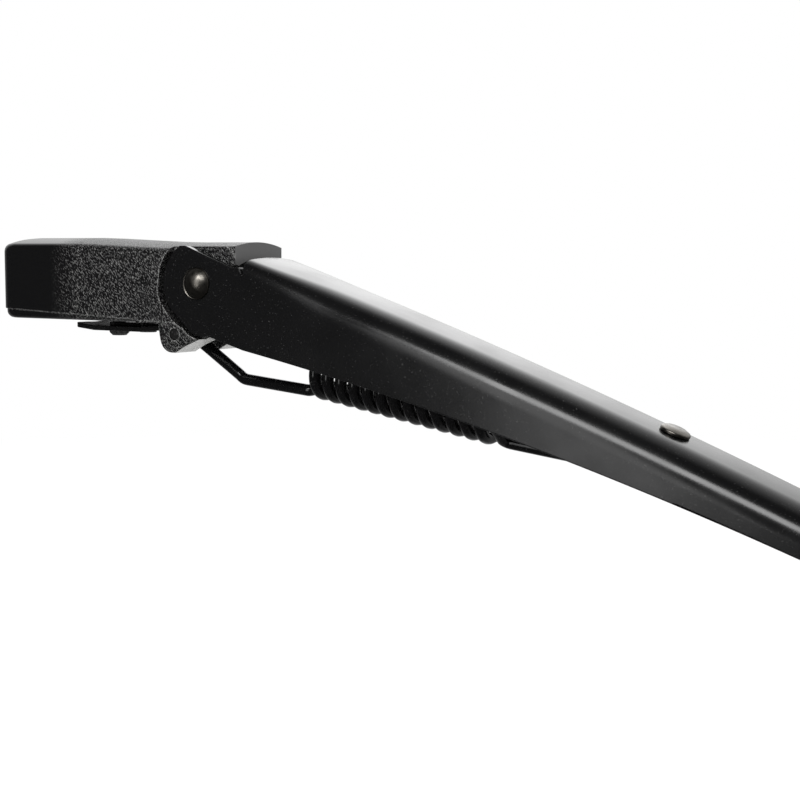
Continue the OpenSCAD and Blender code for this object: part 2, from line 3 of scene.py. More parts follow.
import bmesh
import bpy
import numpy as np
from bpy.props import FloatProperty, FloatVectorProperty, IntProperty, PointerProperty
from bpy.types import Operator, Panel, PropertyGroup
from mathutils import Matrix, Vector


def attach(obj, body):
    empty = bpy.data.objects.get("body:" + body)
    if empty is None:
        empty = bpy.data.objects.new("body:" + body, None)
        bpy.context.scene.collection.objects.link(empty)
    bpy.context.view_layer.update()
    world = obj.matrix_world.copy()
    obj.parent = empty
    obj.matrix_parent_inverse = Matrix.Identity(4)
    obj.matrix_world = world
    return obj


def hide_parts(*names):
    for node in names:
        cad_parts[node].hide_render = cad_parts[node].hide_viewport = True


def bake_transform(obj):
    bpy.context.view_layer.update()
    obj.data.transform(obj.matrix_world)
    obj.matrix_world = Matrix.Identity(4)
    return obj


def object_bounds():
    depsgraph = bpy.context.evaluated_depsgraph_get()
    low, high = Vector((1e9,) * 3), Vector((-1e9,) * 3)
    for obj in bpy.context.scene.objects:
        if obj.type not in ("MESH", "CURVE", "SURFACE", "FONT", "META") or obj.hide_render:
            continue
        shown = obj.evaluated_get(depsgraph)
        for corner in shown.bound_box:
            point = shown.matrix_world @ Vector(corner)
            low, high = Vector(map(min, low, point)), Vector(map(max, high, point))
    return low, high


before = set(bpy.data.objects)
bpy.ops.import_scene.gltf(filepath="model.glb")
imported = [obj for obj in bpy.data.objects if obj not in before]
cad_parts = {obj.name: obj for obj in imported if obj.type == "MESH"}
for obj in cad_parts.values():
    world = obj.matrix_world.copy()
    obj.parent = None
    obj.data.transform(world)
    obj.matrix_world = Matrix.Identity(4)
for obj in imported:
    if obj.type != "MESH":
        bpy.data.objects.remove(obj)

bl_info = {
    "name": "Wiper Arm",
    "version": (1, 0, 0),
    "blender": (4, 5, 0),
    "location": "View3D > Sidebar > Wiper Arm",
    "description": "Dresses the packed wiper arm: cast head, folded channel, rivets, spring, catch, bar and stage",
    "category": "Add Mesh",
}

# Shapes in millimetres and degrees: the web's curvature, the round of the ears' lower bulge as shares of
# their radius (centre and radius), the slope and the corner of their open edges, the rise of the bar's
# front end, the flat domes on the wire's ends, and the wire's gaps at the pin and through the bar.
WEB_BEND = 0.00036
EAR_BULGE = (0.14, -0.583, 0.65)
EAR_FALL = 20.6
EAR_CORNER = 2.6
BAR_END_SLOPE = 0.02
CAP_RISE = 0.6
PIN_GAP, EYE_GAP, EYE_DEPTH = 0.18, 0.35, 5.4

# Where the casting's paint changes, in metres from the hinge axis: its wrinkles, the visor's milled end,
# the top of the lugs' faces with their painted reflection, the rings outside the ears with painted highlights, the
# light ring round the pin, and the rim's sloping step with its painted highlight.
WRINKLE_START, WRINKLE_FULL = -0.049, -0.040
VISOR_END = 0.0096
LUG_FACES_TOP = -0.0125
EAR_RING, BULGE_RING, PIN_RING = 0.0012, 0.0006, 0.0016
STEP_START, STEP_FULL, STEP_HEIGHT, STEP_SLOPE = -0.068, -0.062, -0.01024, 0.0397

# The fitted camera and the floor.
CAMERA_SENSOR = 36.0
CAMERA_FOCAL = 1302.702
CAMERA_TURN, CAMERA_DIP, CAMERA_ROLL = 29.728, 5.819, 0.466
CAMERA_PLACE = (0.262005, -0.269181, 0.014622)
IMAGE_WIDTH = 800
FLOOR_CENTRE = (0.15, 0.1)
FLOOR_RADIUS = 4.0

CAD_BOX = [[float(c) for c in corner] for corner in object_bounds()]


def length(name, text, value, low=0.0, high=1.0):
    """A length property in metres."""
    return FloatProperty(name=name, description=text, default=value, min=low, max=high, unit="LENGTH", precision=5)


def angle(name, text, degrees):
    """An angle property, shown in degrees."""
    return FloatProperty(name=name, description=text, default=math.radians(degrees), subtype="ANGLE")


def number(name, text, value):
    """A plain number that isn't negative."""
    return FloatProperty(name=name, description=text, default=value, min=0.0)


def colour(name, text, value):
    """A linear colour property."""
    return FloatVectorProperty(name=name, description=text, default=value, min=0.0, max=1.0, subtype="COLOR")


class HingeSizes(PropertyGroup):
    reach: length("Reach", "From the spindle's axis to the hinge axis", 0.057)
    height: length("Height", "Hinge axis above the bush's mouth", 0.0102)
    dome_radius: length("Dome radius", "Radius of the hinge rivet's domed heads", 0.004)
    dome_height: length("Dome height", "Height of the hinge rivet's domed heads", 0.0021)


class ChannelSizes(PropertyGroup):
    width: length("Width", "Outside width at the hinge", 0.025)
    end_width: length("End width", "Outside width at the far end", 0.019)
    sheet: length("Sheet", "Thickness of the sheet", 0.002)
    reach: length("Reach", "From the hinge axis to the far end", 0.225)
    ear_radius: length("Ear radius", "Radius of the ears round the hinge", 0.0108)
    ear_top: length("Ear top", "From the hinge axis to the ears' open upper edges", 0.0075)
    front: length("Front", "From the hinge axis to the web's front edge", 0.0139)
    crest: length("Crest", "Height of the web's crown above the hinge axis at its front edge", 0.00665)
    slope: number("Slope", "Fall of the web for each metre of reach, near the hinge", 0.315)
    crown: length("Crown", "Radius across the web", 0.070)
    front_bend: length("Front bend", "Outside radius between web and flanges at the front edge", 0.004)
    bend: length("Bend", "Outside radius between web and flanges away from the ears", 0.007)
    bend_run: length("Bend run", "Reach over which the bends grow from the front one to their own", 0.028)
    front_depth: length("Front depth", "Depth of the flanges at the web's front edge", 0.0228)
    end_depth: length("End depth", "Depth of the flanges at the far end", 0.0068)
    edge: length("Edge", "Rounding of the sheet's cut edges", 0.0003)


class SpringSizes(PropertyGroup):
    wire: length("Wire", "Diameter of the wire", 0.003)
    coil: length("Coil", "Mean radius of the coil", 0.0052)
    pitch: length("Pitch", "Distance between turns", 0.00378)
    turns: IntProperty(name="Turns", description="Number of turns", default=14, min=1, max=40)
    start: length("Start", "From the hinge axis to the first turn", 0.0276)
    depth: length("Depth", "Coil axis below the hinge axis at the first turn", 0.0212)
    fall: angle("Fall", "Fall of the coil's axis", 9.7)
    pin_back: length("Pin back", "From the hinge axis back to the spring pin", 0.007)
    pin_depth: length("Pin depth", "Spring pin below the hinge axis", 0.0128)
    pin_radius: length("Pin radius", "Radius of the spring pin", 0.0015)
    crank_reach: length("Crank reach", "From the hinge axis to the bend in the front wire", 0.0051)
    crank_depth: length("Crank depth", "Bend in the front wire below the hinge axis", 0.0244)
    anchor: length("Anchor", "From the hinge axis to the rear hook", 0.0975)


class BarSizes(PropertyGroup):
    thickness: length("Thickness", "Thickness of the bar", 0.003)
    drop: length("Drop", "Top of the bar below the web's crest", 0.002586)
    turn: length("Turn", "From the hinge axis to where the bar's front end leaves the web", 0.109)


class Finishes(PropertyGroup):
    head_paint: colour("Head paint", "Wrinkled paint of the cast head", (0.0035, 0.0035, 0.0037))
    # Painted highlight: the light colour painted on the wrinkles' tops, where the lamps would catch them.
    head_highlight: colour("Head highlights", "Paint on top of the wrinkles", (0.13, 0.13, 0.126))
    grain_size: length("Grain size", "Width of the paint's wrinkles", 0.00026)
    channel_paint: colour("Channel paint", "Satin paint of the channel", (0.0035, 0.0035, 0.0037))
    bar_paint: colour("Bar paint", "Satin paint of the bar", (0.005, 0.005, 0.0053))
    spring_coat: colour("Spring coat", "Gloss coat of the spring", (0.003, 0.003, 0.0032))
    catch_coat: colour("Catch coat", "Coat of the catch plate and its studs", (0.004, 0.004, 0.0042))
    rivet_coat: colour("Rivet coat", "Black zinc of the rivets", (0.16, 0.15, 0.135))
    pin_coat: colour("Pin coat", "Black coat of the spring pin", (0.006, 0.006, 0.006))
    zinc: colour("Zinc", "Zinc plate of bush and washers", (0.52, 0.52, 0.53))
    brass: colour("Brass", "Brass of the hinge sleeve", (0.66, 0.49, 0.22))
    # The light colour of the head's painted edge highlights and of its ring round the pin, and of the specks of
    # dust on the sprayed paint.
    highlight_and_dust: colour("Highlight and dust", "Thin paint on edges and specks of dust", (0.22, 0.22, 0.215))
    visor_face: colour("Visor face", "Thin grey coat on the visor's milled end", (0.1, 0.1, 0.1))
    # Painted reflection: the light grey that the slanted faces under the lugs take from the light to their right.
    lug_face_reflection: colour("Lug face reflection", "Worn slanted faces under the lugs", (0.42, 0.42, 0.41))


class StageSettings(PropertyGroup):
    floor_drop: length("Floor drop", "Floor below the arm's lowest point", 0.012)
    fill_power: number("Fill power", "Power of the low front light in watts", 0.41)
    key_power: number("Key power", "Power of the high front light in watts", 1.5)
    back_level: number("Back level", "Brightness of the soft light behind the arm", 2.8)
    front_level: number("Front level", "Brightness of the dark surroundings in front of the arm", 0.03)
    soft_level: number("Soft level", "Brightness of the surroundings for matt surfaces", 1.1)


def mm(group):
    """The lengths of a property group in millimetres; counts, angles and plain numbers as they are."""
    values = {}
    for key, kind in group.bl_rna.properties.items():
        if key in {"rna_type", "name"}:
            continue
        value = getattr(group, key)
        values[key] = value * 1000 if getattr(kind, "unit", "") == "LENGTH" else value
    return type("Sizes", (), values)


def settings(name):
    """One of the scene's property groups."""
    return getattr(bpy.context.scene, "wiper_" + name)


# GEOMETRY. All shapes are worked out in millimetres from the hinge axis.

def ramp(x, a, b):
    """Straight change from 0 to 1 while x goes from a to b."""
    return np.clip((x - a) / (b - a), 0, 1)


def ease(x, a, b):
    """Change from 0 to 1 with level ends: three times the square less twice the cube of the straight change."""
    s = ramp(x, a, b)
    return s * s * (3 - 2 * s)


def web_line(c, x):
    """Height of the web's crest: a falling parabola, then its tangent beyond two thirds of the reach."""
    far = c.reach * 2 / 3
    u = np.minimum(x, far) - c.front
    far_slope = c.slope + 2 * WEB_BEND * (far - c.front)
    return c.crest - c.slope * u - WEB_BEND * u * u - far_slope * np.maximum(0, x - far)


def web_foot(c):
    """Where the taper starts: nine tenths of the ear's radius behind the web's front edge."""
    return c.front + 0.9 * c.ear_radius


def channel_half(c, x):
    """Half width of the channel: a straight taper plus an eased one beyond two thirds of the reach."""
    taper = 0.45 * ramp(x, web_foot(c), c.reach) + 0.55 * ease(x, c.reach * 2 / 3, c.reach)
    return c.width / 2 - (c.width - c.end_width) / 2 * taper


def bend_at(c, x):
    """Outside radius of the bends: it grows by an eased change behind the web's front edge."""
    return c.front_bend + (c.bend - c.front_bend) * ease(x, c.front, c.front + c.bend_run)


def flange_low(c, x):
    """Lower edge of the flanges: the depth shrinks with the 1.6th power of the distance to the far end."""
    return web_line(c, x) - c.end_depth - (c.front_depth - c.end_depth) * (1 - ramp(x, c.front, c.reach)) ** 1.6


def channel_rows(c, x, flange=16, bend=14, crown=26):
    """Outer skin across the channel at each x: up the near flange, round the bend by an arc that is
    tangent to flange and crown, over the crown's large arc and down the far side in mirror image. The
    flanges always reach a little below the bends' lower ends."""
    x = np.asarray(x, float)[:, None]
    half, top, low, r = channel_half(c, x), web_line(c, x), flange_low(c, x), bend_at(c, x)
    yc = half - r
    rise = np.sqrt((c.crown - r) ** 2 - yc ** 2)
    zc = top - c.crown + rise
    low = np.minimum(low, zc - 0.05)
    start = np.arctan2(rise, yc)
    s = np.linspace(0, 1, flange)[None, :]
    up_y, up_z = half + 0 * s, low + s * (zc - low)
    b = np.linspace(0, 1, bend + 1)[None, 1:] * start
    bend_y, bend_z = yc + r * np.cos(b), zc + r * np.sin(b)
    q = start + (math.pi / 2 - start) * np.linspace(0, 1, crown // 2 + 1)[None, 1:]
    crown_y, crown_z = c.crown * np.cos(q), top - c.crown + c.crown * np.sin(q)
    y = np.concatenate([up_y, bend_y, crown_y], 1)
    z = np.concatenate([up_z, bend_z, crown_z], 1)
    y = np.concatenate([-y, y[:, -2::-1]], 1)
    z = np.concatenate([z, z[:, -2::-1]], 1)
    return np.stack([x + 0 * y, y, z], -1)


def arc_points(centre, radius, a0, a1, n):
    """Points of a circular arc from angle a0 to a1 in degrees: the centre plus the radius times the
    angle's cosine and sine."""
    a = np.radians(np.linspace(a0, a1, n))
    return np.stack([centre[0] + radius * np.cos(a), centre[1] + radius * np.sin(a)], -1)


def even(points, n):
    """n points at equal steps of length along a polyline, read off against the sum of its legs' lengths."""
    step = np.linalg.norm(np.diff(points, axis=0), axis=1)
    at = np.concatenate([[0], np.cumsum(step)])
    want = np.linspace(0, at[-1], n)
    return np.stack([np.interp(want, at, points[:, k]) for k in range(points.shape[1])], -1)


def ear_patch(c, rows, columns=40):
    """Side face of an ear as a Coons patch: the sum of the two ruled surfaces between opposite edges,
    less the bilinear one between the corners. Edges: the web's front line, the lower edge with its
    bulge, the ear's round and the open upper edge."""
    bulge, bulge_r = np.array(EAR_BULGE[:2]) * c.ear_radius, EAR_BULGE[2] * c.ear_radius
    fall = math.radians(EAR_FALL)
    n = np.array([math.sin(fall), math.cos(fall)])
    t = np.array([math.cos(fall), -math.sin(fall)])
    turn = math.acos((c.ear_top - EAR_CORNER) / (c.ear_radius - EAR_CORNER))
    out = n * math.cos(turn) - t * math.sin(turn)
    corner = out * (c.ear_radius - EAR_CORNER)
    out_angle = math.degrees(math.atan2(out[1], out[0]))
    n_angle = math.degrees(math.atan2(n[1], n[0]))
    front = channel_rows(c, [c.front])[0]
    right = front[:rows, [0, 2]]
    lower = np.concatenate([right[:1], arc_points(bulge, bulge_r, -76, -128, 14)])
    round_ = np.concatenate([arc_points(bulge, bulge_r, -128, -138, 4),
                             arc_points([0, 0], c.ear_radius, 214, out_angle, 40),
                             arc_points(corner, EAR_CORNER, out_angle, n_angle, 10)[1:]])
    upper = np.concatenate([arc_points(corner, EAR_CORNER, n_angle, n_angle, 1),
                            [n * c.ear_top + t * 8.6, right[-1] + [-0.9, 2.0], right[-1]]])
    lower, round_, upper = even(lower, columns), even(round_, rows), even(upper, columns)
    u = np.linspace(0, 1, columns)[:, None, None]
    v = np.linspace(0, 1, rows)[None, :, None]
    lower, upper_back = lower[:, None], upper[::-1][:, None]
    right, left = right[None], round_[None]
    ruled = (1 - v) * lower + v * upper_back + (1 - u) * right + u * left
    corners = ((1 - u) * (1 - v) * right[:, :1] + (1 - u) * v * right[:, -1:]
               + u * (1 - v) * left[:, :1] + u * v * left[:, -1:])
    return ruled - corners


def quads(rows, columns, closed=False):
    """Quads of a grid of rows by columns, with each row closed to a ring if asked."""
    i = np.arange(rows - 1)[:, None]
    j = np.arange(columns if closed else columns - 1)[None, :]
    j2 = (j + 1) % columns
    cells = [i * columns + j, (i + 1) * columns + j, (i + 1) * columns + j2, i * columns + j2]
    return np.stack([k + 0 * i + 0 * j for k in cells], -1).reshape(-1, 4)


def joined(parts):
    """One set of points and faces from several: each part's faces count on from the points before it."""
    starts = np.cumsum([0] + [len(points) for points, _ in parts[:-1]])
    return (np.concatenate([points for points, _ in parts]),
            np.concatenate([faces + start for (_, faces), start in zip(parts, starts)]))


def bend_points(a, b, c, radius, n):
    """A corner at b, rounded: the arc of that radius that is tangent to both legs."""
    a, b, c = (np.asarray(p, float) for p in (a, b, c))
    u, v = (a - b) / np.linalg.norm(a - b), (c - b) / np.linalg.norm(c - b)
    half = math.acos(float(u @ v)) / 2
    run = radius / math.tan(half)
    middle = (u + v) / np.linalg.norm(u + v)
    centre = b + middle * radius / math.sin(half)
    p, q = b + u * run - centre, b + v * run - centre
    sweep = math.pi - 2 * half
    s = np.linspace(0, 1, n)[:, None]
    return centre + (np.sin((1 - s) * sweep) * p + np.sin(s * sweep) * q) / math.sin(sweep)


def tube(path, radius, sides):
    """A round wire along a path: rings square to the path, each ring's first spoke carried over from
    the one before. Both ends are flat domes: rings that shrink while they rise by CAP_RISE radii times
    the square root of one less the square of their share of the radius."""
    path = np.asarray(path, float)
    tangent = np.gradient(path, axis=0)
    tangent /= np.linalg.norm(tangent, axis=1)[:, None]
    spoke = np.zeros_like(path)
    v = np.array([0.0, 1.0, 0.0])
    for i, d in enumerate(tangent):
        v = v - d * (v @ d)
        v /= np.linalg.norm(v)
        spoke[i] = v
    other = np.cross(tangent, spoke)
    a = np.linspace(0, 2 * math.pi, sides, endpoint=False)[None, :, None]
    ring = spoke[:, None] * np.cos(a) + other[:, None] * np.sin(a)
    share = np.array([0.0, 0.45, 0.8])[:, None, None]
    lift, wide = CAP_RISE * radius * np.sqrt(1 - share ** 2), radius * np.maximum(share, 0.02)
    near = path[:1, None] - tangent[:1, None] * lift + ring[:1] * wide
    far = path[-1:, None] + tangent[-1:, None] * lift[::-1] + ring[-1:] * wide[::-1]
    points = np.concatenate([near, path[:, None] + ring * radius, far])
    count = len(points)
    ends = [list(range(sides))[::-1], list(range((count - 1) * sides, count * sides))]
    return points.reshape(-1, 3), quads(count, sides, closed=True)[:, ::-1], ends


def lathe(profile, steps):
    """A profile of radius and height turned round the Z axis: radius times the angle's cosine and sine."""
    profile = np.asarray(profile, float)
    a = np.linspace(0, 2 * math.pi, steps, endpoint=False)[None, :]
    r, z = profile[:, :1], profile[:, 1:]
    points = np.stack([r * np.cos(a), r * np.sin(a), z + 0 * a], -1)
    return points.reshape(-1, 3), quads(len(profile), steps, closed=True)[:, ::-1]


def spring_path(s, bar_top, bar_under):
    """Centre line of the spring: round the pin, straight down to the crank, along to the first turn,
    the helix about its falling axis, a straight wire and a hook that goes up through the bar. The
    corners are arcs, and all points lie at equal steps along the line."""
    r = s.wire / 2
    hook_r = s.pin_radius + r + PIN_GAP
    pin = np.array([-s.pin_back, 0, -s.pin_depth])
    crank = np.array([s.crank_reach, 0, -s.crank_depth])
    gap = crank - pin
    leave = math.degrees(math.atan2(gap[2], gap[0]) - math.asin(hook_r / np.linalg.norm(gap)))
    fall = np.array([math.cos(s.fall), 0, -math.sin(s.fall)])
    rise = np.array([math.sin(s.fall), 0, math.cos(s.fall)])
    base = np.array([s.start, 0, -s.depth])

    def coil(t):
        t = np.asarray(t, float)[..., None]
        return (base + fall * s.pitch * t - rise * s.coil * np.cos(2 * math.pi * t)
                + np.array([0, 1, 0]) * s.coil * np.sin(2 * math.pi * t))

    first, last = coil(0), coil(s.turns)
    step = np.array([0.6, 0, 0])
    low = np.array([s.anchor, 0, bar_under - EYE_DEPTH])
    high = np.array([s.anchor, 0, bar_top + r + EYE_GAP])
    hook = arc_points([pin[0], pin[2]], hook_r, leave - 155, leave - 90, 30)
    hook = np.stack([hook[:, 0], 0 * hook[:, 0], hook[:, 1]], -1)
    path = np.concatenate([
        hook, bend_points(pin, crank, first, 4, 16), bend_points(crank, first - step, coil(0.16), 1.8, 10),
        coil(np.linspace(3 / 14, s.turns - 3 / 14, 64 * s.turns)),
        bend_points(coil(s.turns - 0.16), last + step, low, 1.8, 10), bend_points(last, low, high, 3.2, 16),
        bend_points(low, high, high - 10 * step, 1.6, 12), [high - [4, 0, 0]]])
    return even(path, 1200)


def make_mesh(name, points, faces, extra=()):
    """A mesh in metres from points in millimetres about the hinge axis."""
    hinge = settings("hinge")
    points = points / 1000 + [hinge.reach, 0, hinge.height]
    mesh = bpy.data.meshes.new(name)
    mesh.from_pydata(points.tolist(), [], [*faces.tolist(), *extra])
    mesh.validate()
    return mesh


def put(mesh, name, body, material, replaces=(), sharp=35.0):
    """Links a mesh as a piece that rides on a CAD body."""
    mesh.shade_smooth()
    mesh.set_sharp_from_angle(angle=math.radians(sharp))
    piece = bpy.data.objects.new(name, mesh)
    bpy.context.scene.collection.objects.link(piece)
    piece.data.materials.append(material)
    if replaces:
        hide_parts(*replaces)
    if body:
        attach(piece, body)
    return piece


def weld(mesh, distance):
    """Merges points that lie together and turns the faces of closed shells outwards."""
    bm = bmesh.new()
    bm.from_mesh(mesh)
    bmesh.ops.remove_doubles(bm, verts=bm.verts, dist=distance)
    bmesh.ops.recalc_face_normals(bm, faces=bm.faces)
    bm.to_mesh(mesh)
    bm.free()


def face_up(mesh):
    """Turns an open shell so that the sum of its faces' areas times their normals points up."""
    count = len(mesh.polygons)
    normals, areas = np.empty(count * 3), np.empty(count)
    mesh.polygons.foreach_get("normal", normals)
    mesh.polygons.foreach_get("area", areas)
    if (normals.reshape(-1, 3)[:, 2] * areas).sum() < 0:
        mesh.flip_normals()


def round_edges(piece, width, limit=32.0):
    """Rounds the edges that are sharper than the limit, in degrees."""
    bevel = piece.modifiers.new("round_edges", "BEVEL")
    bevel.width = width
    bevel.segments = 3
    bevel.limit_method = "ANGLE"
    bevel.angle_limit = math.radians(limit)
    bevel.use_clamp_overlap = False
    bevel.miter_outer = "MITER_ARC"
    bevel.harden_normals = True
    return bevel


def eased_copy(node, name, body, material, width, limit=32.0):
    """A merged copy of a CAD node with its flat faces joined and its edges rounded."""
    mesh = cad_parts[node].data.copy()
    mesh.materials.clear()
    bm = bmesh.new()
    bm.from_mesh(mesh)
    bmesh.ops.remove_doubles(bm, verts=bm.verts, dist=2e-6)
    bmesh.ops.dissolve_limit(bm, angle_limit=math.radians(0.4), verts=bm.verts, edges=bm.edges)
    bm.to_mesh(mesh)
    bm.free()
    piece = put(mesh, name, body, material, (node,))
    round_edges(piece, width, limit)
    return piece


# MATERIALS

class Shader:
    """A short way to write a material's node tree."""

    def __init__(self, tree):
        self.tree = tree

    def node(self, kind, values=(), **fields):
        """A node with its fields set and its inputs linked or given plain values."""
        n = self.tree.nodes.new(kind)
        for key, value in fields.items():
            setattr(n, key, value)
        for key, value in dict(values).items():
            socket = n.inputs[key]
            if isinstance(value, bpy.types.NodeSocket):
                self.tree.links.new(value, socket)
            else:
                socket.default_value = value
        return n

    def math(self, operation, a, b=0.0):
        return self.node("ShaderNodeMath", {0: a, 1: b}, operation=operation).outputs[0]

    def product(self, *factors):
        """The factors multiplied, from the first on."""
        result = factors[0]
        for factor in factors[1:]:
            result = self.math("MULTIPLY", result, factor)
        return result

    def mix(self, factor, a, b):
        """Blends from colour a to colour b; each is a plain colour or a socket."""
        ends = [end if isinstance(end, bpy.types.NodeSocket) else (*end[:3], 1.0) for end in (a, b)]
        return self.node("ShaderNodeMix", {0: factor, 6: ends[0], 7: ends[1]}, data_type="RGBA").outputs[2]

    def span(self, value, a, b, c, d):
        """Maps a value from a..b to c..d and holds it there."""
        return self.node("ShaderNodeMapRange", {0: value, 1: a, 2: b, 3: c, 4: d}, clamp=True).outputs[0]


def group(name, inputs, outputs):
    """A new node group with its named sockets, or None with the group if it is there already."""
    tree = bpy.data.node_groups.get(name)
    if tree:
        return tree, None
    tree = bpy.data.node_groups.new(name, "ShaderNodeTree")
    for label, kind, value in inputs:
        socket = tree.interface.new_socket(name=label, in_out="INPUT", socket_type=kind)
        if value is not None:
            socket.default_value = value
    for label, kind in outputs:
        tree.interface.new_socket(name=label, in_out="OUTPUT", socket_type=kind)
    return tree, Shader(tree)


def paint_grain():
    """Wrinkle paint. Height: slanted ridges from a noise that is turned and stretched along them. Highlights:
    painted highlights on the tops of the same ridges, times a coarser noise that breaks them up. Specks: a fine
    even noise."""
    tree, g = group("paint_grain",
                    [("Vector", "NodeSocketVector", None), ("Size", "NodeSocketFloat", 1.0),
                     ("Turn", "NodeSocketFloat", 0.6), ("Stretch", "NodeSocketFloat", 2.2)],
                    [("Height", "NodeSocketFloat"), ("Strokes", "NodeSocketFloat"), ("Specks", "NodeSocketFloat")])
    if g is None:
        return tree
    i = g.node("NodeGroupInput").outputs
    turned = g.node("ShaderNodeVectorRotate", {"Vector": i["Vector"], "Angle": i["Turn"]}, rotation_type="Y_AXIS")
    along = g.node("ShaderNodeCombineXYZ", {0: g.math("DIVIDE", 1.0, i["Stretch"]), 1: 1.0, 2: 1.0})
    drawn = g.node("ShaderNodeVectorMath", {0: turned.outputs[0], 1: along.outputs[0]}, operation="MULTIPLY")
    scale = g.math("DIVIDE", 1000.0, i["Size"])
    ridge = g.node("ShaderNodeTexNoise", {"Vector": drawn.outputs[0], "Scale": scale, "Detail": 0.0})
    patch = g.node("ShaderNodeTexNoise", {"Vector": i["Vector"], "Scale": g.math("MULTIPLY", scale, 0.5),
                                          "Detail": 2.0, "Roughness": 0.6})
    speck = g.node("ShaderNodeTexNoise", {"Vector": i["Vector"], "Scale": g.math("MULTIPLY", scale, 0.9),
                                          "Detail": 1.0, "Roughness": 0.5})
    height = g.span(ridge.outputs[0], 0.4, 0.64, 0.0, 1.0)
    # Painted highlights: the ridges' tops, broken up by a coarser noise.
    highlights = g.math("MULTIPLY", g.span(ridge.outputs[0], 0.55, 0.72, 0.0, 1.0),
                     g.span(patch.outputs[0], 0.35, 0.65, 0.15, 1.0))
    g.node("NodeGroupOutput", {"Height": height, "Strokes": highlights,
                               "Specks": g.span(speck.outputs[0], 0.45, 0.62, 0.0, 1.0)})
    return tree


def ring_gap(g, x, z, centre, radius):
    """Distance in the X-Z plane from a round of that radius: the length from its centre, less the radius."""
    dx, dz = g.math("SUBTRACT", x, centre[0]), g.math("SUBTRACT", z, centre[1])
    square = g.math("ADD", g.math("MULTIPLY", dx, dx), g.math("MULTIPLY", dz, dz))
    return g.math("SUBTRACT", g.math("SQRT", square), radius)


def orange_peel():
    """The soft unevenness of sprayed paint, with fine dust in it."""
    tree, g = group("orange_peel",
                    [("Vector", "NodeSocketVector", None), ("Size", "NodeSocketFloat", 1.5)],
                    [("Height", "NodeSocketFloat"), ("Dust", "NodeSocketFloat"), ("Cloud", "NodeSocketFloat")])
    if g is None:
        return tree
    i = g.node("NodeGroupInput").outputs
    scale = g.math("DIVIDE", 1000.0, i["Size"])
    peel = g.node("ShaderNodeTexNoise", {"Vector": i["Vector"], "Scale": scale, "Detail": 2.0, "Roughness": 0.45})
    dust = g.node("ShaderNodeTexNoise", {"Vector": i["Vector"], "Scale": g.math("MULTIPLY", scale, 4.0),
                                         "Detail": 1.0, "Roughness": 0.5})
    cloud = g.node("ShaderNodeTexNoise", {"Vector": i["Vector"], "Scale": g.math("MULTIPLY", scale, 0.12),
                                          "Detail": 2.0, "Roughness": 0.5})
    g.node("NodeGroupOutput", {"Height": peel.outputs[0], "Dust": g.span(dust.outputs[0], 0.68, 0.75, 0.0, 1.0),
                               "Cloud": g.span(cloud.outputs[0], 0.3, 0.7, 0.0, 1.0)})
    return tree


def new_material(name):
    """An empty material and the writer of its nodes."""
    material = bpy.data.materials.new(name)
    material.use_nodes = True
    material.node_tree.nodes.clear()
    return material, Shader(material.node_tree)


def finish_material(material, g, values):
    """The Principled shader and the output of a material. Plain numbers sit on the shader's own sockets."""
    surface = g.node("ShaderNodeBsdfPrincipled", values)
    g.node("ShaderNodeOutputMaterial", {"Surface": surface.outputs[0]})
    return material


def place(g, offset=(0, 0, 0)):
    """Object coordinates about a point of the row frame."""
    coordinates = g.node("ShaderNodeTexCoord").outputs["Object"]
    return g.node("ShaderNodeMapping", {"Vector": coordinates, "Location": [-c for c in offset]}).outputs[0]


def use(g, tree, values):
    """The outputs of a shared node group whose inputs have those values."""
    return g.node("ShaderNodeGroup", values, node_tree=tree).outputs


def bump(g, height, strength, distance):
    return g.node("ShaderNodeBump", {"Height": height, "Strength": strength,
                                         "Distance": distance}).outputs[0]


